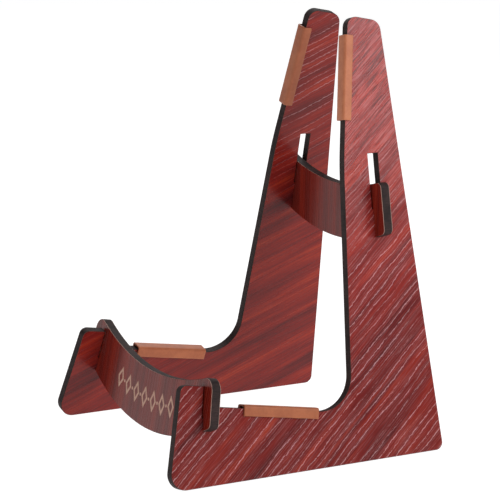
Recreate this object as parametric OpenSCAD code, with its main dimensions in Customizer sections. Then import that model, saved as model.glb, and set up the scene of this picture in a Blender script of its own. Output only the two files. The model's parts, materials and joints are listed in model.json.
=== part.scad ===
// Knock-down instrument stand: two leaning L-shaped side panels, two curved-outline cross
// boards that drop into slots, and leather pads over the edges that touch the instrument.
// X runs across the stand, Y from front to back, Z up. The origin is on the ground, in the
// middle of the stand.

/* [Board material] */
// Thickness of every panel and board, laminate included
board_t = 9; // [6:0.5:12]
// Thickness of each laminate face
face_t = 0.5; // [0.3:0.1:1]
// How far each laminate face stops short of the cut edge
face_trim = 0.3; // [0.2:0.1:1]

/* [Side panel] */
// Depth of the panel along the ground
base_depth = 285; // [230:5:345]
// Height of the panel's top front corner, along the panel
panel_height = 407; // [340:1:500]
// How far each panel leans inwards, in degrees
lean = 12.7; // [8:0.1:15]
// Distance between the two panels' inner faces at the ground
inner_spacing = 237; // [230:1:300]
// Height of the front post, along the panel
post_height = 92; // [85:1:100]
// How far the front post leans back, in degrees
post_rake = 12.5; // [5:0.5:15]
// Width of the post's top, from its front edge to the slot
post_top_w = 22; // [16:0.5:28]
// Height of the arm's top edge just behind the slot
arm_height = 70; // [64:0.5:76]
// Slope of the arm's top edge, falling to the back, in degrees
arm_slope = 9.4; // [4:0.2:12]
// Depth of the upright where the arm would meet it
upright_foot_w = 95; // [80:0.5:120]
// How far below the upright's top front corner its front edge bends, along the panel
bend_drop = 135; // [115:1:160]
// Depth of the upright at that bend
bend_w = 60.6; // [54:0.2:80]
// Depth of the upright at its top
upright_top_w = 33.5; // [30:0.5:56]
// How far the back edge comes forward from the ground to the top
back_rake = 30.6; // [15:0.2:45]
// How far the top edge falls to the back
top_fall = 6.4; // [3:0.1:12]
// Radius of the large fillet between arm and upright
fillet_r = 31.5; // [15:0.5:40]
// Radius that softens the bend in the upright's front edge
bend_r = 400; // [100:10:600]
// Radius of the front bottom corner
front_corner_r = 14; // [6:0.5:20]
// Radius of the back bottom corner
back_corner_r = 7; // [3:0.5:14]
// Radius of the post's top front corner
post_corner_r = 6.5; // [2:0.5:9]
// Radius of the upright's top front corner
top_front_r = 9.5; // [3:0.5:14]
// Radius of the upright's top back corner
top_back_r = 11; // [3:0.5:14]

/* [Slots] */
// Play on each side of a cross board in its slot
slot_play = 0.8; // [0.4:0.1:1.2]
// Play on each side of a side panel in a board's notch
notch_play = 0.3; // [0.2:0.05:0.6]
// Play above and below a tab that passes through the closed slot
slot_end_play = 0.6; // [0.4:0.1:1.5]
// How much of the arm stands behind the lower board
lower_slot_lip = 10; // [7:0.5:16]
// Height of the upper slot's floor, along the panel
upper_seat_h = 229.5; // [190:0.5:250]
// How far the upper slot is set behind the middle of the upright
upper_slot_shift = 1; // [-4:0.5:6]

/* [Cross boards] */
// How far the lower board leans back, in degrees
lower_tilt = 10; // [0:0.5:14]
// How far the lower board's tabs stick out past the side panels
lower_tab_out = 13; // [10:0.5:20]
// Radius of the lower tabs' top corners
lower_tab_top_r = 12; // [3:0.5:13]
// Radius of the lower tabs' bottom corners
lower_tab_bottom_r = 5; // [2:0.5:8]
// How far the upper board's tabs stick out past the side panels
upper_tab_out = 16.5; // [10:0.5:22]
// Radius of the upper tabs' corners
upper_tab_r = 6; // [2:0.5:9]
// Height of the lower board above its seat, along the panel
lower_neck = 34.6; // [26:0.2:44]
// Depth of the lower board's notches, along the panel
lower_notch = 13; // [10:0.2:20]
// Radius of the lower board's top edge
lower_top_r = 298; // [220:2:500]
// Radius of the lower board's bottom edge
lower_bottom_r = 262; // [200:2:500]
// Height of the upper board above its seat, along the panel
upper_neck = 22; // [14:0.2:28]
// Depth of the upper board's notches, along the panel
upper_notch = 27.2; // [20:0.2:34]
// Radius of the upper board's top edge
upper_top_r = 270; // [160:2:500]
// Radius of the upper board's bottom edge
upper_bottom_r = 256; // [140:2:500]

/* [Pads] */
// Thickness of the leather channel
pad_t = 2.2; // [1.5:0.1:4]
// Thickness of the tape between the leather and the board's edge
tape_t = 1.2; // [0.4:0.1:1.5]
// Length of the pad on each arm
arm_pad_len = 76; // [50:1:90]
// How far the leather comes down the faces of an arm
arm_pad_leg = 7; // [4:0.5:12]
// Distance from the arm pad's front end to the middle of the slot
arm_pad_gap = 35.2; // [15:0.2:40]
// Length of the pad on each upright
back_pad_len = 78; // [50:1:110]
// How far the leather comes over the faces of an upright
back_pad_leg = 5.5; // [4:0.5:16]
// Distance from the back pad's middle to the panel's top front corner
back_pad_drop = 57; // [45:1:90]

/* [Hidden] */

CORE_COLOR = [0.06, 0.05, 0.05];
FACE_COLOR = [0.42, 0.07, 0.07];
LEATHER_COLOR = [0.67, 0.39, 0.25];
TAPE_COLOR = [0.08, 0.08, 0.07];

corner_step = 6;
board_arc_steps = 28;
cut_reach = 200;
pad_corner_r = 2.2;
pad_skin_gap = 0.1;
tape_side_gap = 1;
tape_end_gap = 2;
seat_gap = 0.01;

// ---- outline functions ----
function unit(v) = v / norm(v);
function left_of(v) = [-v[1], v[0]];
function xy(p) = [p[0], p[1]];
function turned(v, a) = [v[0] * cos(a) - v[1] * sin(a), v[0] * sin(a) + v[1] * cos(a)];
function next_of(pts, i) = pts[(i + 1) % len(pts)];
function before(pts, i) = pts[(i + len(pts) - 1) % len(pts)];
function turn_of(a, p, b) = cross(p - a, b - p);

// Arc of radius r that replaces the corner p between a and b
function corner_arc(a, p, b, r) =
    r <= 0 ? [p] :
    let(
        u = unit(a - p),
        w = unit(b - p),
        half = acos(u * w) / 2,
        centre = p + unit(u + w) * r / sin(half),
        spoke = p + u * r / tan(half) - centre,
        sweep = (180 - 2 * half) * sign(turn_of(a, p, b)),
        steps = max(4, ceil(abs(sweep) / corner_step))
    )
    [for (i = [0:steps]) centre + turned(spoke, sweep * i / steps)];

// Corners [x, y, radius] become a smooth outline
function rounded(pts) = [
    for (i = [0:len(pts) - 1])
        each corner_arc(xy(before(pts, i)), xy(pts[i]), xy(next_of(pts, i)), pts[i][2])
];

// Anticlockwise corners [x, y, radius], every edge moved inwards by d
function inset(pts, d) = [
    for (i = [0:len(pts) - 1])
        let(
            a = xy(before(pts, i)),
            p = xy(pts[i]),
            b = xy(next_of(pts, i)),
            n1 = left_of(unit(p - a)),
            n2 = left_of(unit(b - p)),
            q = p + d * (n1 + n2) / (1 + n1 * n2),
            r = pts[i][2]
        )
        [q[0], q[1], r <= 0 ? 0 : r - d * sign(turn_of(a, p, b))]
];

// ---- side panel: outline in (y, h), h measured up along the panel ----
post_top = [post_height * tan(post_rake), post_height];
arm_dir = [cos(arm_slope), -sin(arm_slope)];
top_back = [base_depth - back_rake, panel_height - top_fall];
top_front = [top_back[0] - upright_top_w, panel_height];

// A board of tilt t that crosses a panel: how much wider than the board its slot is
function crossing(t) = sqrt(1 - pow(sin(lean) * sin(t), 2));
function crossing_w(t) = board_t * (1 + sin(lean) * sin(t)) / crossing(t);
function slot_w(t) = crossing_w(t) + 2 * slot_play;
function notch_w(t) = crossing_w(t) + 2 * notch_play;
// Lean of the slot in the panel, and of the notch in the board
function slot_tilt(t) = atan(tan(t) * cos(lean));
function notch_tilt(t) = atan(tan(lean) * cos(t));
// Height above the ground of a point at h on the panel's middle plane, and the reverse
function ground_z(h) = h * cos(lean) + board_t / 2 * sin(lean);

lower_seat_h = arm_height - lower_slot_lip;
lower_slot_top_y = post_top[0] + post_top_w + slot_w(lower_tilt) / 2 / cos(slot_tilt(lower_tilt));
// Where the lower board's middle plane would meet the ground
lower_board_y = lower_slot_top_y - tan(lower_tilt) * ground_z(post_height - post_top_w * tan(arm_slope));
function lower_slot_y(h) = lower_board_y + tan(lower_tilt) * ground_z(h);

slot_mouth = [lower_slot_y(arm_height), arm_height];
upright_foot_y = base_depth - upright_foot_w;
upright_foot = [upright_foot_y, arm_height - (upright_foot_y - slot_mouth[0]) * tan(arm_slope)];
function back_edge_y(h) = base_depth - back_rake * h / top_back[1];
bend_height = panel_height - bend_drop;
bend = [back_edge_y(bend_height) - bend_w, bend_height];
top_dir = unit(top_front - bend);
function line_y(a, b, h) = a[0] + (b[0] - a[0]) * (h - a[1]) / (b[1] - a[1]);
function front_edge_y(h) = h < bend_height ? line_y(upright_foot, bend, h) : line_y(bend, top_front, h);

slot_len = upper_neck + upper_notch + 2 * slot_end_play;
upper_slot_mid_h = upper_seat_h + slot_len / 2;
upper_board_y = (front_edge_y(upper_slot_mid_h) + back_edge_y(upper_slot_mid_h)) / 2 + upper_slot_shift;

side_corners = [
    [0, 0, front_corner_r],
    [base_depth, 0, back_corner_r],
    [top_back[0], top_back[1], top_back_r],
    [top_front[0], top_front[1], top_front_r],
    [bend[0], bend[1], bend_r],
    [upright_foot[0], upright_foot[1], fillet_r],
    [slot_mouth[0], slot_mouth[1], 0],
    [slot_mouth[0], post_height - (slot_mouth[0] - post_top[0]) * tan(arm_slope), 0],
    [post_top[0], post_top[1], post_corner_r]
];

// The stand's middle in Y, and the height of the core's lowest edge
side_ys = [for (p = rounded(side_corners)) p[0]];
middle_y = (min(side_ys) + max(side_ys)) / 2;
ground_lift = face_t * sin(lean);

// Slot that rises from its floor at h; grow widens it on every side
module slot_cut(y, h, tilt, width, length, grow) {
    translate([y, h])
        rotate(-slot_tilt(tilt))
            translate([-width / 2 - grow, -grow])
                square([width + 2 * grow, length + 2 * grow]);
}

module side_shape(trim) {
    difference() {
        polygon(rounded(inset(side_corners, trim)));
        slot_cut(lower_slot_y(lower_seat_h), lower_seat_h, lower_tilt, slot_w(lower_tilt),
            cut_reach, trim);
        slot_cut(upper_board_y, upper_seat_h, 0, slot_w(0), slot_len, trim);
    }
}

// From the panel's own (y, h, thickness) to its place; children lie on its inner face
module stand_panel() {
    translate([inner_spacing / 2, -middle_y, -ground_lift])
        rotate([0, -lean, 0])
            rotate([90, 0, 90])
                children();
}

module side_layer(from, thickness, trim) {
    stand_panel()
        translate([0, 0, from])
            linear_extrude(thickness)
                side_shape(trim);
}

module side_core() {
    color(CORE_COLOR)
        side_layer(face_t, board_t - 2 * face_t, 0);
}

module side_inner_face() {
    color(FACE_COLOR)
        side_layer(0, face_t, face_trim);
}

module side_outer_face() {
    color(FACE_COLOR)
        side_layer(board_t - face_t, face_t, face_trim);
}

// ---- leather channels and the tape under them ----
// Along an edge of the panel from start, in the direction of the unit vector along
module on_edge(start, along) {
    stand_panel()
        translate([start[0], start[1], 0])
            rotate([0, 0, atan2(along[1], along[0])])
                rotate([90, 0, 90])
                    children();
}

// Channel section: x out of the edge, y through the board
module channel_section(leg) {
    crown = tape_t + pad_t;
    inside = pad_skin_gap;
    polygon(rounded([
        [-leg, -inside - pad_t, 1],
        [crown, -inside - pad_t, pad_corner_r],
        [crown, board_t + inside + pad_t, pad_corner_r],
        [-leg, board_t + inside + pad_t, 1],
        [-leg, board_t + inside, 0],
        [tape_t, board_t + inside, 0.6],
        [tape_t, -inside, 0.6],
        [-leg, -inside, 0]
    ]));
}

module edge_pad(start, along, length, leg) {
    color(LEATHER_COLOR)
        on_edge(start, along)
            linear_extrude(length)
                channel_section(leg);
}

module edge_tape(start, along, length) {
    color(TAPE_COLOR)
        on_edge(start, along)
            translate([0, tape_side_gap, tape_end_gap])
                cube([tape_t, board_t - 2 * tape_side_gap, length - 2 * tape_end_gap]);
}

// Both edges run towards the back or the foot, with the panel on their right-hand side
arm_pad_start = slot_mouth + arm_dir * arm_pad_gap;
back_pad_end = top_front - top_dir * (back_pad_drop + back_pad_len / 2);

module arm_pad() {
    edge_pad(arm_pad_start, arm_dir, arm_pad_len, arm_pad_leg);
}

module arm_tape() {
    edge_tape(arm_pad_start, arm_dir, arm_pad_len);
}

module back_pad() {
    edge_pad(back_pad_end, top_dir, back_pad_len, back_pad_leg);
}

module back_tape() {
    edge_tape(back_pad_end, top_dir, back_pad_len);
}

// ---- cross boards: outline in (x, s), s measured up along the board from the ground ----
// Where the side panel's middle plane crosses the board
function crossing_x(s, t) =
    inner_spacing / 2 + board_t / 2 / cos(lean) - s * cos(t) * tan(lean);
// The crossing at a distance d above the seat, along the panel
function crossing_at(seat, d, t) =
    let(s = seat + d * cos(notch_tilt(t)))
    [crossing_x(s, t), s];
// Height of the centre of an arc of radius r through p, centred over the middle
function arc_centre(p, r) = p[1] + sqrt(r * r - p[0] * p[0]);
// Where that arc meets the tab's end line x = a - b * s
function arc_end(centre, r, a, b) =
    let(
        k = 1 + b * b,
        m = a * b + centre,
        s = (m - sqrt(m * m - k * (a * a + centre * centre - r * r))) / k
    )
    [a - b * s, s];
// Points along the arc, stopping short of the tabs' rounded corners
function arc_points(centre, r, end) =
    let(half = asin(end[0] / r))
    [for (i = [2:board_arc_steps - 2])
        let(a = half * (2 * i / board_arc_steps - 1))
        [r * sin(a), centre - r * cos(a), 0]];

function board_corners(seat, t, neck, notch, top_r, bottom_r, tab_out, tab_top_r, tab_bottom_r) =
    let(
        slope = tan(notch_tilt(t)),
        end_x = crossing_x(0, t) + (board_t / 2 / crossing(t) + tab_out) / cos(notch_tilt(t)),
        low_c = arc_centre(crossing_at(seat, -notch, t), bottom_r),
        top_c = arc_centre(crossing_at(seat, neck, t), top_r),
        low = arc_end(low_c, bottom_r, end_x, slope),
        top = arc_end(top_c, top_r, end_x, slope),
        top_run = arc_points(top_c, top_r, top)
    )
    [
        [-low[0], low[1], tab_bottom_r],
        each arc_points(low_c, bottom_r, low),
        [low[0], low[1], tab_bottom_r],
        [top[0], top[1], tab_top_r],
        each [for (i = [len(top_run) - 1:-1:0]) top_run[i]],
        [-top[0], top[1], tab_top_r]
    ];

module notch_cut(seat, t, grow) {
    width = notch_w(t) + 2 * grow;
    translate([crossing_x(seat, t), seat])
        rotate(notch_tilt(t))
            translate([-width / 2, grow - cut_reach])
                square([width, cut_reach]);
}

module board_shape(seat, t, corners, trim) {
    difference() {
        polygon(rounded(inset(corners, trim)));
        for (side = [0, 1])
            mirror([side, 0])
                notch_cut(seat, t, trim);
    }
}

// From the board's own (x, s, distance forwards of its middle plane) to its place
module stand_board(y, t) {
    translate([0, y - middle_y, -ground_lift])
        rotate([90 - t, 0, 0])
            children();
}

lower_seat = ground_z(lower_seat_h) / cos(lower_tilt) + seat_gap;
upper_seat = ground_z(upper_seat_h) + seat_gap;
lower_corners = board_corners(lower_seat, lower_tilt, lower_neck, lower_notch,
    lower_top_r, lower_bottom_r, lower_tab_out, lower_tab_top_r, lower_tab_bottom_r);
upper_corners = board_corners(upper_seat, 0, upper_neck, upper_notch,
    upper_top_r, upper_bottom_r, upper_tab_out, upper_tab_r, upper_tab_r);

module lower_layer(from, thickness, trim) {
    stand_board(lower_board_y, lower_tilt)
        translate([0, 0, from])
            linear_extrude(thickness)
                board_shape(lower_seat, lower_tilt, lower_corners, trim);
}

module upper_layer(from, thickness, trim) {
    stand_board(upper_board_y, 0)
        translate([0, 0, from])
            linear_extrude(thickness)
                board_shape(upper_seat, 0, upper_corners, trim);
}

module lower_board_core() {
    color(CORE_COLOR)
        lower_layer(face_t - board_t / 2, board_t - 2 * face_t, 0);
}

module lower_board_front_face() {
    color(FACE_COLOR)
        lower_layer(board_t / 2 - face_t, face_t, face_trim);
}

module lower_board_back_face() {
    color(FACE_COLOR)
        lower_layer(-board_t / 2, face_t, face_trim);
}

module upper_board_core() {
    color(CORE_COLOR)
        upper_layer(face_t - board_t / 2, board_t - 2 * face_t, 0);
}

module upper_board_front_face() {
    color(FACE_COLOR)
        upper_layer(board_t / 2 - face_t, face_t, face_trim);
}

module upper_board_back_face() {
    color(FACE_COLOR)
        upper_layer(-board_t / 2, face_t, face_trim);
}

module on_left() {
    mirror([1, 0, 0])
        children();
}

on_left() side_core();  // left_side_core
on_left() side_inner_face();  // left_side_inner_face
on_left() side_outer_face();  // left_side_outer_face
on_left() arm_pad();  // left_arm_pad
on_left() arm_tape();  // left_arm_tape
on_left() back_pad();  // left_back_pad
on_left() back_tape();  // left_back_tape
side_core();  // right_side_core
side_inner_face();  // right_side_inner_face
side_outer_face();  // right_side_outer_face
arm_pad();  // right_arm_pad
arm_tape();  // right_arm_tape
back_pad();  // right_back_pad
back_tape();  // right_back_tape
lower_board_core();
lower_board_front_face();
lower_board_back_face();
upper_board_core();
upper_board_front_face();
upper_board_back_face();
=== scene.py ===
"""Looks for a knock-down instrument stand: red grain laminate, charred cut edges, tan leather pads."""

from __future__ import annotations

import json
import logging
import math
from dataclasses import dataclass, field
from enum import Enum
from typing import Any, Callable, ClassVar, Sequence, Union

import bmesh
import bpy
from mathutils import Matrix, Vector, noise

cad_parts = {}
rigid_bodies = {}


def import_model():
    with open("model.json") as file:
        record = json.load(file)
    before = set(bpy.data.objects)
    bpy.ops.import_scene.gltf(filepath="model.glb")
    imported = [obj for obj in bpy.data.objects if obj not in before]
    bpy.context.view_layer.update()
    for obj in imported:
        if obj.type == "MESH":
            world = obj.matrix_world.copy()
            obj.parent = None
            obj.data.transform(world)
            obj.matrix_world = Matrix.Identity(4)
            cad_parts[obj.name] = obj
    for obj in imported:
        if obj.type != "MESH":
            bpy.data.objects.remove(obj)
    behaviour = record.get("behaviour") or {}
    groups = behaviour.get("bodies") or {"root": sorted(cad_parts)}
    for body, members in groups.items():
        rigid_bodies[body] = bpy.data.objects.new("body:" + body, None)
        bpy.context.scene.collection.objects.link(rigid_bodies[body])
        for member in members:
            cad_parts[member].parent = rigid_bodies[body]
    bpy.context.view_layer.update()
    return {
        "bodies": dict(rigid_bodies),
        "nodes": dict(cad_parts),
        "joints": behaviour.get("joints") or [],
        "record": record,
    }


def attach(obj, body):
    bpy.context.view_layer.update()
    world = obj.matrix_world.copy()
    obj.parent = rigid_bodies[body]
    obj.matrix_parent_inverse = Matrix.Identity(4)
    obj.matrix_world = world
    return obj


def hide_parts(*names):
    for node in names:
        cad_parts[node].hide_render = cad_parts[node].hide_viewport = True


LOG = logging.getLogger("stand")
MM = 0.001
WIDTH_AXIS = Vector((1.0, 0.0, 0.0))
DEPTH_AXIS = Vector((0.0, 1.0, 0.0))
UP_AXIS = Vector((0.0, 0.0, 1.0))
MIX_AMOUNT, MIX_FIRST, MIX_SECOND, MIX_RESULT = 0, 6, 7, 2

Colour = tuple[float, float, float]
Span = tuple[float, float]
Number = Union["Value", float, int]


class Side(Enum):
    """The two side panels, by name."""

    LEFT = "left"
    RIGHT = "right"

    @property
    def sign(self) -> float:
        """Minus one on the left, plus one on the right."""
        return 1.0 if self is Side.RIGHT else -1.0


class Face(Enum):
    """Which face of a board a laminate covers."""

    INNER = "inner"
    OUTER = "outer"
    FRONT = "front"
    BACK = "back"


class Value:
    """A number on a surface, held as a node socket, that Python arithmetic can extend."""

    def __init__(self, graph: "Graph", socket: bpy.types.NodeSocket) -> None:
        """Wraps an output socket of the graph."""
        self.graph = graph
        self.socket = socket

    def _with(self, operation: str, *others: Number, clamp: bool = False) -> "Value":
        """Adds one Math node whose first input is this value.

        Args:
            operation: What the node does.
            others: Its other inputs, in order.
            clamp: Whether the result is kept between 0 and 1.

        Returns:
            The node's result.
        """
        inputs = {index: item for index, item in enumerate((self, *others))}
        settings = {"operation": operation, "use_clamp": clamp}
        made = self.graph.node("ShaderNodeMath", settings, inputs)
        return Value(self.graph, made.outputs[0])

    def __add__(self, other: Number) -> "Value":
        """Sum."""
        return self._with("ADD", other)

    def __radd__(self, other: Number) -> "Value":
        """Sum, reflected."""
        return self._with("ADD", other)

    def __sub__(self, other: Number) -> "Value":
        """Difference."""
        return self._with("SUBTRACT", other)

    def __rsub__(self, other: Number) -> "Value":
        """Difference, reflected."""
        return self._with("MULTIPLY_ADD", -1.0, other)

    def __mul__(self, other: Number) -> "Value":
        """Product."""
        return self._with("MULTIPLY", other)

    def __rmul__(self, other: Number) -> "Value":
        """Product, reflected."""
        return self._with("MULTIPLY", other)

    def __abs__(self) -> "Value":
        """Size without its sign."""
        return self._with("ABSOLUTE")

    def fraction(self) -> "Value":
        """What is left after the whole part."""
        return self._with("FRACT")

    def clamped(self) -> "Value":
        """Kept between 0 and 1."""
        return self._with("ADD", 0.0, clamp=True)

    def most(self, other: Number) -> "Value":
        """The larger of two values."""
        return self._with("MAXIMUM", other)

    def rise(self, low: float, high: float) -> "Value":
        """A smooth step.

        Args:
            low: The value at which the step starts.
            high: The value at which the step is complete.

        Returns:
            0 below low, 1 above high, and a smooth curve between them.
        """
        settings = {"interpolation_type": "SMOOTHSTEP", "clamp": True}
        made = self.graph.node(
            "ShaderNodeMapRange",
            settings,
            {"Value": self, "From Min": low, "From Max": high, "To Min": 0.0, "To Max": 1.0},
        )
        return Value(self.graph, made.outputs["Result"])

    def fall(self, low: float, high: float) -> "Value":
        """A smooth step downwards, 1 below low and 0 above high."""
        return 1.0 - self.rise(low, high)


class Graph:
    """One material's node tree."""

    def __init__(self, name: str) -> None:
        """Makes an empty material with an output node."""
        self.material = bpy.data.materials.new(name)
        self.material.use_nodes = True
        self.tree = self.material.node_tree
        self.tree.nodes.clear()
        self.output = self.node("ShaderNodeOutputMaterial")

    def node(
        self,
        kind: str,
        settings: dict[str, Any] | None = None,
        inputs: dict[str | int, Any] | None = None,
    ) -> bpy.types.Node:
        """Adds a node.

        Args:
            kind: The node's type name.
            settings: Its own properties, set before its sockets; "stops" fills a ramp.
            inputs: Values, sockets or Value objects, by the input's name or place.

        Returns:
            The new node.
        """
        made = self.tree.nodes.new(kind)
        for key, setting in (settings or {}).items():
            if key == "stops":
                self._fill_ramp(made, setting)
            else:
                setattr(made, key, setting)
        for key, item in (inputs or {}).items():
            target = made.inputs[key]
            if isinstance(item, Value):
                item = item.socket
            if isinstance(item, bpy.types.NodeSocket):
                self.tree.links.new(item, target)
            else:
                target.default_value = item
        return made

    @staticmethod
    def _fill_ramp(made: bpy.types.Node, stops: Sequence[tuple[float, Colour]]) -> None:
        """Writes a colour ramp's stops.

        Args:
            made: The ramp's node.
            stops: Each stop's place and colour, in rising order.
        """
        elements = made.color_ramp.elements
        while len(elements) > 1:
            elements.remove(elements[-1])
        for index, (place, colour) in enumerate(stops):
            stop = elements[0] if index == 0 else elements.new(place)
            stop.position = place
            stop.color = (*colour, 1.0)

    def place(self) -> bpy.types.NodeSocket:
        """The surface point in the stand's own frame."""
        return self.node("ShaderNodeTexCoord").outputs["Object"]

    def facing(self) -> bpy.types.NodeSocket:
        """The surface's outward direction in the stand's own frame."""
        return self.node("ShaderNodeTexCoord").outputs["Normal"]

    def along(self, vector: bpy.types.NodeSocket, direction: Vector) -> Value:
        """How far a vector reaches along a direction."""
        made = self.node(
            "ShaderNodeVectorMath",
            {"operation": "DOT_PRODUCT"},
            {0: vector, 1: tuple(direction)},
        )
        return Value(self, made.outputs["Value"])

    def vector(self, x: Number, y: Number, z: Number) -> bpy.types.NodeSocket:
        """Three numbers as one vector."""
        return self.node("ShaderNodeCombineXYZ", None, {0: x, 1: y, 2: z}).outputs[0]

    def noise(
        self,
        vector: bpy.types.NodeSocket,
        scale: float = 1.0,
        detail: float = 2.0,
        roughness: float = 0.5,
        distortion: float = 0.0,
    ) -> Value:
        """Smooth noise at a vector.

        Args:
            vector: Where the noise is read.
            scale: How many times finer it is than one metre.
            detail: How many finer layers are added.
            roughness: How strong each finer layer is.
            distortion: How far the pattern is bent.

        Returns:
            A value between 0 and 1.
        """
        made = self.node(
            "ShaderNodeTexNoise",
            {"noise_dimensions": "3D"},
            {
                "Vector": vector,
                "Scale": scale,
                "Detail": detail,
                "Roughness": roughness,
                "Distortion": distortion,
            },
        )
        return Value(self, made.outputs["Fac"])

    def cells(self, vector: bpy.types.NodeSocket, scale: float) -> Value:
        """Distance to the nearest of many scattered points."""
        made = self.node("ShaderNodeTexVoronoi", None, {"Vector": vector, "Scale": scale})
        return Value(self, made.outputs["Distance"])

    def ramp(self, value: Number, stops: Sequence[tuple[float, Colour]]) -> bpy.types.NodeSocket:
        """Turns a value into a colour by stops."""
        made = self.node("ShaderNodeValToRGB", {"stops": stops}, {"Fac": value})
        return made.outputs["Color"]

    def mix(self, amount: Number, first: Any, second: Any, kind: str = "MIX") -> bpy.types.NodeSocket:
        """Blends two colours.

        Args:
            amount: How much of the second colour shows.
            first: A colour or a colour socket.
            second: A colour or a colour socket.
            kind: How the second colour acts on the first.

        Returns:
            The blended colour's socket.
        """
        ends = [(*c, 1.0) if isinstance(c, tuple) else c for c in (first, second)]
        made = self.node(
            "ShaderNodeMix",
            {"data_type": "RGBA", "blend_type": kind, "clamp_factor": True},
            {MIX_AMOUNT: amount, MIX_FIRST: ends[0], MIX_SECOND: ends[1]},
        )
        return made.outputs[MIX_RESULT]

    def bump(self, height: Number, strength: float, distance: float) -> bpy.types.NodeSocket:
        """A normal that follows a height, whose full step is distance metres."""
        inputs = {"Height": height, "Strength": strength, "Distance": distance}
        return self.node("ShaderNodeBump", None, inputs).outputs["Normal"]

    def finish(self, **sockets: Any) -> bpy.types.Material:
        """Joins a Principled shader to the output.

        Args:
            sockets: The shader's inputs, with an underscore for each space in a name.

        Returns:
            The finished material.
        """
        inputs = {
            name.replace("_", " "): (*item, 1.0) if isinstance(item, tuple) else item
            for name, item in sockets.items()
        }
        shader = self.node("ShaderNodeBsdfPrincipled", None, inputs)
        self.tree.links.new(shader.outputs[0], self.output.inputs["Surface"])
        return self.material


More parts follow.
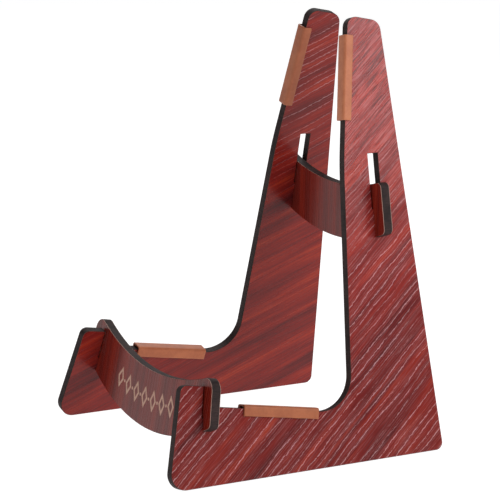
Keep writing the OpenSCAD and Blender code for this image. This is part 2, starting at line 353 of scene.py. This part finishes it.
@dataclass(frozen=True)
class GrainLaminate:
    """Embossed red wood-grain laminate on one flat board.

    A grain size is a length along the grain and a width across it, both in metres. The pores'
    width is a share of their spacing. The pores' pale tint is a painted glint; pore glint heights are
    where it is full and where it is gone, and the hatch, with painted shade in its dark lines and
    painted glints in its pale strokes, takes over where it fades. The painted light by height gives
    the colour's
    factor at the foot and at the top: painted shade and painted light that change with height.
    """

    name: str
    grain: Vector
    across: Vector
    outward: Vector
    seed: float
    stops: tuple[tuple[float, Colour], ...]
    band_size: Span = (0.26, 0.013)
    streak_size: Span = (0.045, 0.0013)
    streak_depth: float = 0.5
    pore_spacing: float = 0.0062
    pore_width: float = 0.066
    # Painted glints on the pores: their strength, the heights where they are full and gone, and the
    # pale tint.
    pore_glint_amount: float = 0.75
    pore_glint_heights: Span = (0.18, 0.36)
    pore_glint_colour: Colour = (0.68, 0.38, 0.39)
    hatch: float = 0.0
    relief: float = 0.00026
    # Painted light and shade: the colour's factor at the foot and at the top.
    painted_light_by_height: Span = (1.0, 1.0)
    edge_colour: Colour = (0.16, 0.07, 0.055)
    specular: float = 0.5
    roughness: float = 0.21

    hair_size: ClassVar[Span] = (0.02, 0.0006)
    hair_depth: ClassVar[float] = 0.22
    hatch_size: ClassVar[Span] = (0.024, 0.0011)
    # Painted shade: the dark colour of the hatch's lines.
    hatch_shade_colour: ClassVar[Colour] = (0.080, 0.010, 0.012)
    # Height above the ground where the painted light by height reaches its top factor.
    painted_light_top_height: ClassVar[float] = 0.36
    fine_spacing: ClassVar[float] = 0.36
    fine_share: ClassVar[float] = 0.35
    wander_size: ClassVar[Span] = (0.05, 0.03)
    chatter_size: ClassVar[Span] = (0.0036, 0.006)
    ragged_size: ClassVar[Span] = (0.0035, 0.0016)
    break_size: ClassVar[Span] = (0.10, 0.007)

    def _grained(self, graph: Graph, size: Span, shift: float, **settings: float) -> Value:
        """Noise that is drawn out along the grain.

        Args:
            graph: The material being made.
            size: The grain size.
            shift: Moves this pattern away from another of the same size.
            settings: The noise's detail, roughness and distortion.

        Returns:
            A value between 0 and 1.
        """
        point = graph.place()
        stretched = graph.vector(
            graph.along(point, self.grain) * (1.0 / size[0]),
            graph.along(point, self.across) * (1.0 / size[1]),
            self.seed + shift,
        )
        return graph.noise(stretched, **settings)

    def _pores(self, graph: Graph, spacing: float, shift: float) -> Value:
        """A mask of ragged, broken pore lines.

        Args:
            graph: The material being made.
            spacing: The distance between lines, in metres.
            shift: Moves this set of lines away from another's.

        Returns:
            1 on a line and 0 between lines.
        """
        across = graph.along(graph.place(), self.across)
        wander = self._grained(graph, self.wander_size, shift, detail=1.0)
        chatter = self._grained(graph, self.chatter_size, shift + 3.0, detail=2.0)
        lane = across * (1.0 / spacing) + wander * 1.3 + chatter * 0.34 + shift
        offset = abs(lane.fraction() - 0.5)
        ragged = self._grained(graph, self.ragged_size, shift + 5.0, detail=2.0)
        line = (offset + (0.5 - ragged) * 0.20).fall(self.pore_width * 0.5, self.pore_width)
        breaks = self._grained(graph, self.break_size, shift + 9.0, detail=3.0, roughness=0.6)
        return line * breaks.rise(0.38, 0.54)

    def _ground(self, graph: Graph, streak: Value, height: Value, calm: Value) -> bpy.types.NodeSocket:
        """The printed grain's colour, without its pores, times the painted light and shade by height.

        Args:
            graph: The material being made.
            streak: The fine streaks.
            height: The height above the ground.
            calm: How far the bands and streaks show, from 0 to 1.

        Returns:
            The colour's socket.
        """
        band = self._grained(graph, self.band_size, 0.0, detail=3.0, roughness=0.55, distortion=0.35)
        hair = self._grained(graph, self.hair_size, 17.0, detail=2.0, roughness=0.6)
        drawn = (band - 0.5) * calm + (streak - 0.5) * calm * self.streak_depth
        tone = drawn + (hair - 0.5) * self.hair_depth + 0.5
        # Painted light and shade: the printed colour is scaled from the foot factor to the top factor
        # as the surface rises.
        foot, top = self.painted_light_by_height
        shade = height.rise(0.0, self.painted_light_top_height) * (top - foot) + foot
        colour = graph.ramp(tone.clamped(), self.stops)
        return graph.mix(1.0, colour, graph.vector(shade, shade, shade), "MULTIPLY")

    def material(self) -> bpy.types.Material:
        """Builds the laminate's material."""
        graph = Graph(self.name)
        height = graph.along(graph.place(), UP_AXIS)
        pore_full, pore_gone = self.pore_glint_heights
        reach = height.rise(pore_gone, pore_full)
        calm = 1.0 - (1.0 - reach) * self.hatch * 0.6
        streak = self._grained(graph, self.streak_size, 11.0, detail=3.0, roughness=0.6)
        colour = self._ground(graph, streak, height, calm)
        coarse = self._pores(graph, self.pore_spacing, 0.0)
        fine = self._pores(graph, self.pore_spacing * self.fine_spacing, 0.4)
        pores = coarse.most(fine * self.fine_share)
        # Painted glints: the pores are tinted pale where they would catch the light, fading with
        # height.
        colour = graph.mix(pores * reach * self.pore_glint_amount, colour, self.pore_glint_colour)
        # The hatch: fine lines higher up, with painted glints in their pale strokes and painted shade
        # in their dark lines.
        lines = self._grained(graph, self.hatch_size, 23.0, detail=2.0, roughness=0.55)
        hatched = (1.0 - reach * 0.8) * self.hatch
        hatch_glints = lines.rise(0.50, 0.62) * hatched
        colour = graph.mix(hatch_glints * 0.30, colour, self.pore_glint_colour)
        colour = graph.mix(lines.fall(0.36, 0.50) * hatched, colour, self.hatch_shade_colour)
        pores = pores.most(hatch_glints)
        side_wall = abs(graph.along(graph.facing(), self.outward)).fall(0.5, 0.8)
        dullness = pores * 0.16 + streak * 0.08 + (self.roughness - 0.04) + side_wall * 0.25
        return graph.finish(
            Base_Color=graph.mix(side_wall, colour, self.edge_colour),
            Roughness=dullness.clamped(),
            Specular_IOR_Level=self.specular,
            Normal=graph.bump((1.0 - pores) * 0.7 + streak * 0.3, 0.6, self.relief),
        )


@dataclass(frozen=True)
class CharredEdge:
    """Black, laser-charred fibreboard: matt, with soot streaks through the board's thickness."""

    name: str
    through: Vector
    dark: Colour = (0.008, 0.005, 0.005)
    light: Colour = (0.050, 0.028, 0.026)
    roughness: float = 0.65
    drawn_out: float = 0.85
    streak_scale: float = 900.0
    cloud_scale: float = 55.0
    fibre_scale: float = 1500.0
    relief: float = 0.0001

    def material(self) -> bpy.types.Material:
        """Builds the charred edge's material."""
        graph = Graph(self.name)
        point = graph.place()
        depth = graph.along(point, self.through)
        flat = graph.node(
            "ShaderNodeVectorMath",
            {"operation": "MULTIPLY_ADD"},
            {0: graph.vector(depth, depth, depth), 1: tuple(-self.through * self.drawn_out), 2: point},
        ).outputs["Vector"]
        streaks = graph.noise(flat, scale=self.streak_scale, detail=2.0, roughness=0.6)
        clouds = graph.noise(point, scale=self.cloud_scale, detail=3.0)
        fibres = graph.noise(point, scale=self.fibre_scale, detail=2.0)
        tone = streaks * 0.45 + clouds * 0.35 + fibres * 0.35
        colour = graph.mix(tone.rise(0.38, 0.85), self.dark, self.light)
        return graph.finish(
            Base_Color=colour,
            Roughness=(fibres * 0.2 + (self.roughness - 0.05)).clamped(),
            Specular_IOR_Level=0.2,
            Normal=graph.bump(streaks * 0.6 + fibres * 0.4, 0.5, self.relief),
        )


@dataclass(frozen=True)
class TanLeather:
    """Smooth vegetable-tanned leather with a fine grain, or its raw cut edge."""

    name: str
    base: Colour
    deep: Colour
    roughness: float = 0.46
    grain_size: float = 0.0007
    mottle_scale: float = 70.0
    fibre_scale: float = 420.0
    relief: float = 0.00008

    def material(self) -> bpy.types.Material:
        """Builds the leather's material."""
        graph = Graph(self.name)
        point = graph.place()
        mottle = graph.noise(point, scale=self.mottle_scale, detail=4.0, roughness=0.55)
        fibre = graph.noise(point, scale=self.fibre_scale, detail=2.0)
        pebbles = graph.cells(point, 1.0 / self.grain_size)
        tone = mottle * 0.7 + fibre * 0.3
        colour = graph.mix(tone.rise(0.3, 0.72), self.deep, self.base)
        colour = graph.mix(pebbles.fall(0.0, 0.22) * 0.25, colour, self.deep)
        return graph.finish(
            Base_Color=colour,
            Roughness=(mottle * 0.16 + (self.roughness - 0.06)).clamped(),
            Sheen_Weight=0.08,
            Sheen_Roughness=0.5,
            Specular_IOR_Level=0.3,
            Normal=graph.bump(pebbles * 0.6 + fibre * 0.4, 0.25, self.relief),
        )


@dataclass(frozen=True)
class PlainFinish:
    """A matt finish with a little colour variation, for tape and engraving."""

    name: str
    base: Colour
    shade: Colour
    scale: float = 700.0
    roughness: float = 0.75
    relief: float = 0.00006

    def material(self) -> bpy.types.Material:
        """Builds the finish's material."""
        graph = Graph(self.name)
        point = graph.place()
        mottle = graph.noise(point, scale=self.scale, detail=3.0, roughness=0.6)
        return graph.finish(
            Base_Color=graph.mix(mottle.rise(0.3, 0.7), self.shade, self.base),
            Roughness=(mottle * 0.15 + (self.roughness - 0.07)).clamped(),
            Specular_IOR_Level=0.3,
            Normal=graph.bump(mottle, 0.3, self.relief),
        )


def dress(obj: bpy.types.Object, *materials: bpy.types.Material) -> None:
    """Puts materials in an object's slots, in place of what was there, and reports the piece.

    Args:
        obj: The piece.
        materials: Its materials, in the order of its slots.
    """
    obj.data.materials.clear()
    for material in materials:
        obj.data.materials.append(material)
    LOG.info("%s: %s", obj.name, ", ".join(material.name for material in materials))


def piece_from(bm: bmesh.types.BMesh, name: str) -> bpy.types.Object:
    """Turns a finished bmesh into an object at the origin.

    Args:
        bm: The mesh, already in its place; it is freed.
        name: The piece's name.

    Returns:
        The new object, linked to the scene.
    """
    mesh = bpy.data.meshes.new(name)
    bm.to_mesh(mesh)
    bm.free()
    obj = bpy.data.objects.new(name, mesh)
    bpy.context.scene.collection.objects.link(obj)
    return obj


@dataclass(frozen=True)
class PanelAxes:
    """The directions of a leaning side panel: depth, up along the panel, and outwards."""

    rise: Vector
    outward: Vector

    @classmethod
    def of(cls, side: Side, record: dict[str, Any]) -> "PanelAxes":
        """Reads the lean from the direction that the panel's foot faces.

        Args:
            side: Which panel.
            record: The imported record.

        Returns:
            That panel's directions.
        """
        foot = mount(record, f"{side.value}_foot")[1]
        rise = -foot
        return cls(rise=rise, outward=side.sign * DEPTH_AXIS.cross(rise))

    def turned(self, degrees: float) -> tuple[Vector, Vector]:
        """The directions of a grain that climbs to the back.

        Args:
            degrees: How steeply it climbs.

        Returns:
            The direction along the grain, and the one across it.
        """
        angle = math.radians(degrees)
        grain = DEPTH_AXIS * math.cos(angle) + self.rise * math.sin(angle)
        across = self.rise * math.cos(angle) - DEPTH_AXIS * math.sin(angle)
        return grain, across


def mount(record: dict[str, Any], name: str) -> tuple[Vector, Vector]:
    """A mount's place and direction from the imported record."""
    found = next(m for m in record["mounts"] if m["name"] == name)
    return Vector(found["pos_m"]), Vector(found["axis"]).normalized()


PANEL_STOPS = (
    (0.26, (0.078, 0.008, 0.009)),
    (0.40, (0.150, 0.012, 0.011)),
    (0.52, (0.205, 0.014, 0.011)),
    (0.62, (0.265, 0.020, 0.012)),
    (0.74, (0.360, 0.034, 0.014)),
)
BOARD_STOPS = (
    (0.25, (0.083, 0.009, 0.006)),
    (0.45, (0.133, 0.011, 0.007)),
    (0.60, (0.183, 0.014, 0.007)),
    (0.78, (0.238, 0.022, 0.010)),
)


@dataclass
class SidePanel:
    """One side panel: its charred core, its two laminate faces and its two leather channels."""

    side: Side
    frame: dict[str, Any]
    grain: float
    # Strength of the painted glints on each face's pores, and the heights where they are full and
    # gone.
    inner_pore_glints: float
    outer_pore_glints: float
    inner_pore_glint_heights: Span = (0.18, 0.36)
    outer_pore_glint_heights: Span = (0.18, 0.36)
    outer_hatch: float = 0.0
    # Painted shade at the foot and painted light at the top, as factors on the laminate colour.
    painted_light_by_height: Span = (0.82, 1.50)
    specular: float = 0.31
    axes: PanelAxes = field(init=False)

    def __post_init__(self) -> None:
        """Finds the panel's directions."""
        self.axes = PanelAxes.of(self.side, self.frame["record"])

    def _laminate(self, face: Face, pores: float, pore_glint_heights: Span, hatch: float,
                  seed: float) -> None:
        """Dresses one laminate face.

        Args:
            face: Which face.
            pores: How strongly the painted glints on its pores show.
            pore_glint_heights: Where those painted glints are full and where they are gone.
            hatch: How strongly its hatch shows.
            seed: Sets its grain apart from the other faces'.
        """
        name = f"{self.side.value}_side_{face.value}_face"
        grain, across = self.axes.turned(self.grain)
        finish = GrainLaminate(
            name=f"{name}_laminate",
            grain=grain,
            across=across,
            outward=self.axes.outward,
            seed=seed,
            stops=PANEL_STOPS,
            pore_glint_amount=pores,
            pore_glint_heights=pore_glint_heights,
            hatch=hatch,
            painted_light_by_height=self.painted_light_by_height,
            specular=self.specular,
        )
        dress(self.frame["nodes"][name], finish.material())

    def build(self) -> None:
        """Dresses the panel and fits its channels."""
        shift = 20.0 if self.side is Side.LEFT else 0.0
        self._laminate(Face.INNER, self.inner_pore_glints, self.inner_pore_glint_heights, 0.0, 1.7 + shift)
        self._laminate(Face.OUTER, self.outer_pore_glints, self.outer_pore_glint_heights, self.outer_hatch,
                       6.3 + shift)
        core = f"{self.side.value}_side_core"
        charred = CharredEdge(f"{core}_charred", self.axes.outward)
        dress(self.frame["nodes"][core], charred.material())
        for place in ("arm", "back"):
            LeatherChannel(self.side, place, self.frame, self.axes).build()
        LOG.info("%s side: finished", self.side.value)


@dataclass
class LeatherChannel:
    """A strip of leather folded over a panel's edge."""

    side: Side
    place: str
    frame: dict[str, Any]
    axes: PanelAxes
    leather_t: float = 1.9 * MM
    fold_r: float = 2.4 * MM
    crown_swell: float = 0.25 * MM
    waviness: float = 0.22 * MM
    rim_r: float = 0.35 * MM
    fold_segments: int = 6
    length_cuts: int = 26
    width_cuts: int = 3
    cut_colours: ClassVar[tuple[Colour, Colour]] = ((0.40, 0.19, 0.10), (0.20, 0.09, 0.05))
    # Painted shade: the foam tape is near black so that the gap at the channel ends looks shaded.
    tape_gap_shade_colours: ClassVar[tuple[Colour, Colour]] = ((0.035, 0.033, 0.03), (0.018, 0.017, 0.016))
    # Painted light and shade: one leather, given a lighter or a darker tone on each channel for the
    # light that it catches.
    lit_and_shaded_tones: ClassVar[dict[tuple[Side, str], tuple[Colour, Colour]]] = {
        (Side.RIGHT, "arm"): ((0.40, 0.122, 0.049), (0.30, 0.083, 0.032)),
        (Side.RIGHT, "back"): ((0.50, 0.172, 0.081), (0.39, 0.118, 0.053)),
        (Side.LEFT, "arm"): ((0.50, 0.155, 0.064), (0.38, 0.105, 0.042)),
        (Side.LEFT, "back"): ((0.40, 0.130, 0.060), (0.31, 0.090, 0.040)),
    }

    def _limits(self, basis: Sequence[Vector]) -> list[Span]:
        """Measures the CAD channel.

        Args:
            basis: The directions to measure along.

        Returns:
            The channel's least and greatest reach along each direction.
        """
        node = self.frame["nodes"][self._node_name()]
        reach = [[v.co.dot(axis) for v in node.data.vertices] for axis in basis]
        return [(min(r), max(r)) for r in reach]

    def _node_name(self) -> str:
        """The CAD node that this channel stands for."""
        return f"{self.side.value}_{self.place}_pad"

    def _folded_strip(self, along: Span, out: Span, through: Span) -> bmesh.types.BMesh:
        """Makes the folded strip in its own frame: x along, y out of the edge, z through.

        Args:
            along: The strip's two ends.
            out: The legs' tips and the crown.
            through: The legs' outer faces.

        Returns:
            A closed strip of leather.
        """
        bm = bmesh.new()
        corners = [
            (along[0], out[0], through[0]),
            (along[0], out[1], through[0]),
            (along[0], out[1], through[1]),
            (along[0], out[0], through[1]),
        ]
        verts = [bm.verts.new(c) for c in corners]
        edges = [bm.edges.new(pair) for pair in zip(verts, verts[1:])]
        made = bmesh.ops.extrude_edge_only(bm, edges=edges)["geom"]
        moved = [g for g in made if isinstance(g, bmesh.types.BMVert)]
        bmesh.ops.translate(bm, verts=moved, vec=(along[1] - along[0], 0, 0))
        folds = [e for e in bm.edges if len(e.link_faces) == 2]
        bmesh.ops.bevel(bm, geom=folds, offset=self.fold_r, segments=self.fold_segments, profile=0.5,
                        affect="EDGES", material=-1)
        self._cut_finer(bm)
        bmesh.ops.recalc_face_normals(bm, faces=bm.faces)
        middle = (through[0] + through[1]) / 2
        if any(f.normal.y < -0.9 for f in bm.faces):
            bmesh.ops.reverse_faces(bm, faces=bm.faces)
        self._wave(bm, out, middle, through[1] - middle)
        bmesh.ops.solidify(bm, geom=bm.faces[:], thickness=self.leather_t)
        return bm

    def _cut_finer(self, bm: bmesh.types.BMesh) -> None:
        """Cuts the strip across its length, then cuts its crown and legs lengthwise.

        Args:
            bm: The single-walled strip.
        """
        lengthwise = [e for e in bm.edges if abs((e.verts[0].co - e.verts[1].co).x) > 1e-5]
        bmesh.ops.subdivide_edges(bm, edges=lengthwise, cuts=self.length_cuts, use_grid_fill=True)
        wide = [
            e for e in bm.edges
            if abs((e.verts[0].co - e.verts[1].co).x) < 1e-6 and e.calc_length() > self.fold_r
        ]
        bmesh.ops.subdivide_edges(bm, edges=wide, cuts=self.width_cuts, use_grid_fill=True)

    def _wave(self, bm: bmesh.types.BMesh, out: Span, middle: float, half: float) -> None:
        """Swells the crown a little and gives the leather its hand-cut unevenness.

        Args:
            bm: The single-walled strip.
            out: The legs' tips and the crown.
            middle: The strip's middle through the board.
            half: Half its width.
        """
        bm.normal_update()
        seed = Vector((3.1 * self.side.sign, 5.7 if self.place == "arm" else 1.3, 0.4))
        for vert in bm.verts:
            spread = (vert.co.z - middle) / half
            high = (vert.co.y - out[0]) / (out[1] - out[0])
            if high > 0.9:
                vert.co.y -= self.crown_swell * spread * spread
            drift = noise.noise(vert.co * 90.0 + seed) * self.waviness * 0.5
            vert.co -= vert.normal * (abs(drift) + self.waviness * 0.2)
            if high < 0.4:
                edge_wave = noise.noise(Vector((vert.co.x * 120.0, spread, 2.0)) + seed)
                vert.co.y += (0.4 - high) * self.waviness * (1.5 + edge_wave * 2.5)

    def build(self) -> bpy.types.Object:
        """Makes the channel in place of its CAD solid.

        Returns:
            The folded leather.
        """
        record = self.frame["record"]
        out = mount(record, f"{self.side.value}_{self.place}_rest")[1]
        through = self.axes.outward
        along = out.cross(through).normalized()
        limits = self._limits((along, out, through))
        bm = self._folded_strip(*limits)
        rims = [e for e in bm.edges if e.is_manifold and e.calc_face_angle() > math.radians(60)]
        bmesh.ops.bevel(bm, geom=rims, offset=self.rim_r, segments=2, profile=0.5,
                        affect="EDGES", material=-1)
        tips = limits[1][0] + 1.5 * MM
        for face in bm.faces:
            at_tip = face.normal.y < -0.6 and face.calc_center_median().y < tips
            face.smooth = True
            face.material_index = int(abs(face.normal.x) > 0.6 or at_tip)
        place = Matrix((along, out, through)).transposed().to_4x4()
        bmesh.ops.transform(bm, matrix=place, verts=bm.verts)
        if place.determinant() < 0:
            bmesh.ops.reverse_faces(bm, faces=bm.faces)
        name = f"{self._node_name()}_leather"
        piece = piece_from(bm, name)
        # The tan material carries the channel's painted light and shade tone.
        dress(
            piece,
            TanLeather(f"{name}_tan", *self.lit_and_shaded_tones[self.side, self.place]).material(),
            TanLeather(f"{name}_cut", *self.cut_colours, roughness=0.7).material(),
        )
        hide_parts(self._node_name())
        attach(piece, f"{self.side.value}_side")
        tape = self.frame["nodes"][f"{self.side.value}_{self.place}_tape"]
        # The tape's near-black colour is painted shade for the gap at the channel ends.
        dress(tape, PlainFinish(f"{tape.name}_foam", *self.tape_gap_shade_colours).material())
        return piece


@dataclass
class CrossBoard:
    """One cross board with upright grain: its core and its two laminate faces."""

    name: str
    frame: dict[str, Any]
    seed: float

    def directions(self) -> tuple[Vector, Vector]:
        """Finds the board's directions from its front laminate.

        Returns:
            The direction that the laminate faces, and the one up along the board.
        """
        node = self.frame["nodes"][f"{self.name}_front_face"]
        largest = max(node.data.polygons, key=lambda p: p.area * (p.normal.y < 0))
        forward = largest.normal.copy()
        up = forward.cross(WIDTH_AXIS).normalized()
        return forward, up if up.z > 0 else -up

    def build(self) -> None:
        """Dresses the board."""
        forward, up = self.directions()
        for face, shift in ((Face.FRONT, 0.0), (Face.BACK, 4.0)):
            node = f"{self.name}_{face.value}_face"
            finish = GrainLaminate(
                name=f"{node}_laminate",
                grain=up,
                across=WIDTH_AXIS,
                outward=forward,
                seed=self.seed + shift,
                stops=BOARD_STOPS,
                band_size=(0.6, 0.014),
                streak_size=(0.25, 0.0016),
                streak_depth=0.42,
                pore_spacing=0.0026,
                # The boards' pores get only a faint painted glint.
                pore_glint_amount=0.06,
                relief=0.00005,
                pore_glint_heights=(0.9, 1.0),
                pore_glint_colour=(0.30, 0.12, 0.10),
                edge_colour=(0.42, 0.27, 0.22),
                specular=0.21,
                roughness=0.27,
            )
            dress(self.frame["nodes"][node], finish.material())
        core = f"{self.name}_core"
        dress(self.frame["nodes"][core], CharredEdge(f"{core}_charred", forward).material())
        LOG.info("%s: finished", self.name)


@dataclass
class EngravedBand:
    """A plain engraved border of lozenges and dots on a board's front, along its curve."""

    board: CrossBoard
    motifs: int = 7
    spacing: float = 17.5 * MM
    lozenge_w: float = 12 * MM
    lozenge_h: float = 21 * MM
    line_w: float = 2.3 * MM
    dot_r: float = 1.5 * MM
    proud: float = 0.04 * MM
    sunk: float = 0.12 * MM
    reach: float = 80 * MM
    slope_step: float = 1 * MM
    burn: ClassVar[tuple[Colour, Colour]] = ((0.60, 0.37, 0.28), (0.46, 0.27, 0.20))

    def _curve(self, forward: Vector, up: Vector) -> tuple[Vector, Callable[[float], float]]:
        """The board's front plane and the height of its middle line.

        Args:
            forward: The direction that the front faces.
            up: The direction up along the board.

        Returns:
            A point on the front plane, and a function from x to a height along up.
        """
        node = self.board.frame["nodes"][f"{self.board.name}_front_face"]
        points = [v.co.copy() for v in node.data.vertices]
        front = max(p.dot(forward) for p in points)
        edge = [(p.x, p.dot(up)) for p in points if abs(p.x) < self.reach]
        middle = sum(s for _, s in edge) / len(edge)

        def half_line(upper: bool) -> list[Span]:
            """The outline above or below the middle, from left to right."""
            return sorted({(round(x, 6), s) for x, s in edge if (s > middle) == upper})

        def height(line: list[Span], x: float) -> float:
            """Reads one outline between its points.

            Args:
                line: The outline, from left to right.
                x: Where to read it.

            Returns:
                Its height there.
            """
            for (x0, s0), (x1, s1) in zip(line, line[1:]):
                if x0 <= x <= x1 and x1 > x0:
                    return s0 + (s1 - s0) * (x - x0) / (x1 - x0)
            return line[0][1] if x < line[0][0] else line[-1][1]

        low, high = half_line(False), half_line(True)
        return forward * front, lambda x: (height(low, x) + height(high, x)) / 2

    def _ring(self, bm: bmesh.types.BMesh, place: Matrix, width: float, tall: float) -> None:
        """Adds one lozenge outline, a prism with a lozenge hole.

        Args:
            bm: The border so far.
            place: Where the lozenge goes.
            width: Its width along the board.
            tall: Its height.
        """
        made = bmesh.ops.create_circle(bm, cap_ends=True, segments=4, radius=0.5)["verts"]
        bmesh.ops.scale(bm, verts=made, vec=(width, tall, 1.0))
        face = next(f for f in bm.faces if set(f.verts) == set(made))
        ring = bmesh.ops.inset_region(
            bm, faces=[face], thickness=self.line_w, use_even_offset=True, use_boundary=True
        )["faces"]
        bmesh.ops.delete(bm, geom=[face], context="FACES_ONLY")
        self._raise_up(bm, ring, place)

    def _dot(self, bm: bmesh.types.BMesh, place: Matrix) -> None:
        """Adds one round dot."""
        made = bmesh.ops.create_circle(bm, cap_ends=True, segments=20, radius=self.dot_r)["verts"]
        self._raise_up(bm, [next(f for f in bm.faces if set(f.verts) == set(made))], place)

    def _raise_up(self, bm: bmesh.types.BMesh, faces: list[bmesh.types.BMFace], place: Matrix) -> None:
        """Gives flat faces the engraving's depth and puts them in place.

        Args:
            bm: The border so far.
            faces: The flat faces of one motif.
            place: Where the motif goes.
        """
        made = bmesh.ops.extrude_face_region(bm, geom=faces, use_keep_orig=True)["geom"]
        top = [g for g in made if isinstance(g, bmesh.types.BMVert)]
        base = {v for f in faces for v in f.verts}
        bmesh.ops.translate(bm, verts=top, vec=(0, 0, self.proud))
        bmesh.ops.translate(bm, verts=list(base), vec=(0, 0, -self.sunk))
        bmesh.ops.transform(bm, matrix=place, verts=list(base) + top)

    def build(self) -> bpy.types.Object:
        """Makes the border and fixes it to its board.

        Returns:
            The border.
        """
        forward, up = self.board.directions()
        plane, height = self._curve(forward, up)
        bm = bmesh.new()
        step = self.slope_step
        for index in range(self.motifs * 2 - 1):
            x = (index - (self.motifs - 1)) * self.spacing / 2
            centre = plane + WIDTH_AXIS * x + up * (height(x) - plane.dot(up))
            slope = (height(x + step) - height(x - step)) / (2 * step)
            local_x = (WIDTH_AXIS + up * slope).normalized()
            local_y = forward.cross(local_x).normalized()
            place = Matrix((local_x, local_y, forward)).transposed().to_4x4()
            place.translation = centre
            if index % 2 == 0:
                self._ring(bm, place, self.lozenge_w, self.lozenge_h)
            else:
                self._dot(bm, place)
        bmesh.ops.recalc_face_normals(bm, faces=bm.faces)
        piece = piece_from(bm, "engraved_border")
        dress(piece, PlainFinish("engraved_border_burn", *self.burn).material())
        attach(piece, self.board.name)
        LOG.info("%s: %d motifs", piece.name, self.motifs)
        return piece


@dataclass(frozen=True)
class Softbox:
    """A rectangular soft light: its place in degrees round and up, its distance, size and power."""

    name: str
    azimuth: float
    elevation: float
    distance: float
    size: Span
    watts: float


@dataclass
class Studio:
    """A pale room: the camera, a floor and large soft lights."""

    target: Vector = field(default_factory=lambda: Vector((0.0027, -0.0005, 0.1789)))
    azimuth: float = 61.27
    elevation: float = 13.01
    roll: float = 1.11
    distance: float = 1.941
    focal_mm: float = 149.9
    sensor_mm: float = 36.0
    aim: Vector = field(default_factory=lambda: Vector((0.0, 0.0, 0.2)))
    room_glow: float = 0.06
    floor_glow: float = 0.98
    floor_half: float = 12.0
    softboxes: ClassVar[tuple[Softbox, ...]] = (
        Softbox("window", 118.0, 27.5, 2.0, (1.7, 1.05), 27.5),
        Softbox("front", 15.0, 42.0, 2.2, (1.4, 1.2), 12.0),
        Softbox("rear", 250.0, 38.0, 2.2, (1.5, 1.3), 22.0),
        Softbox("above", 160.0, 80.0, 2.0, (1.2, 1.2), 8.0),
    )

    def _direction(self, azimuth: float, elevation: float) -> Vector:
        """The direction from the stand to a place in the room, in degrees round and up."""
        turn, tip = math.radians(azimuth), math.radians(elevation)
        return Vector((math.sin(turn) * math.cos(tip), -math.cos(turn) * math.cos(tip), math.sin(tip)))

    def _aimed(self, place: Vector, target: Vector, roll: float = 0.0) -> Matrix:
        """A matrix at a place that looks at a target, turned about its view by roll degrees."""
        look = (target - place).to_track_quat("-Z", "Y").to_matrix().to_4x4()
        return Matrix.Translation(place) @ look @ Matrix.Rotation(math.radians(roll), 4, "Z")

    def camera(self) -> None:
        """Adds the camera."""
        data = bpy.data.cameras.new("camera")
        data.lens = self.focal_mm
        data.sensor_width = self.sensor_mm
        data.clip_end = 50.0
        obj = bpy.data.objects.new("camera", data)
        place = self.target + self._direction(self.azimuth, self.elevation) * self.distance
        obj.matrix_world = self._aimed(place, self.target, self.roll)
        bpy.context.scene.collection.objects.link(obj)
        bpy.context.scene.camera = obj

    def _hang(self, box: Softbox) -> None:
        """Adds one soft light.

        Args:
            box: The light to add.
        """
        data = bpy.data.lights.new(box.name, "AREA")
        data.shape = "RECTANGLE"
        data.size, data.size_y = box.size
        data.energy = box.watts
        obj = bpy.data.objects.new(box.name, data)
        place = self.aim + self._direction(box.azimuth, box.elevation) * box.distance
        obj.matrix_world = self._aimed(place, self.aim)
        bpy.context.scene.collection.objects.link(obj)

    def lights(self) -> None:
        """Adds the lights and the room's even glow."""
        world = bpy.data.worlds.new("pale_room")
        world.use_nodes = True
        glow = world.node_tree.nodes["Background"]
        glow.inputs["Color"].default_value = (1.0, 1.0, 1.0, 1.0)
        glow.inputs["Strength"].default_value = self.room_glow
        bpy.context.scene.world = world
        for box in self.softboxes:
            self._hang(box)

    def floor(self) -> None:
        """Adds the pale floor, which glows like a sheet lit from below."""
        bm = bmesh.new()
        bmesh.ops.create_grid(bm, x_segments=1, y_segments=1, size=self.floor_half)
        obj = piece_from(bm, "studio_floor")
        paint = Graph("studio_floor_paint").finish(
            Base_Color=(0.20, 0.20, 0.20),
            Roughness=0.8,
            Emission_Color=(1.0, 1.0, 1.0),
            Emission_Strength=self.floor_glow,
        )
        dress(obj, paint)

    def build(self) -> None:
        """Sets up the whole room."""
        self.camera()
        self.lights()
        self.floor()
        bpy.context.scene.view_settings.view_transform = "Standard"
        LOG.info("studio: ready")


def main() -> None:
    """Builds the looks of every sub-assembly in turn."""
    logging.basicConfig(level=logging.INFO, format="%(name)s: %(message)s")
    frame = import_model()
    Studio().build()
    # The right panel gets painted shade low down and painted light high up; the left panel gets almost
    # none.
    SidePanel(Side.RIGHT, frame, grain=41.0, inner_pore_glints=0.50, outer_pore_glints=0.50,
              outer_hatch=0.85).build()
    # The left panel's inner face has its pores' painted glints full higher up and gone lower down.
    SidePanel(Side.LEFT, frame, grain=24.0, inner_pore_glints=0.42, outer_pore_glints=0.45,
              inner_pore_glint_heights=(0.34, 0.20), painted_light_by_height=(0.93, 0.94), specular=0.25).build()
    lower = CrossBoard("lower_board", frame, seed=3.0)
    lower.build()
    CrossBoard("upper_board", frame, seed=8.0).build()
    EngravedBand(lower).build()


if __name__ == "__main__":
    main()
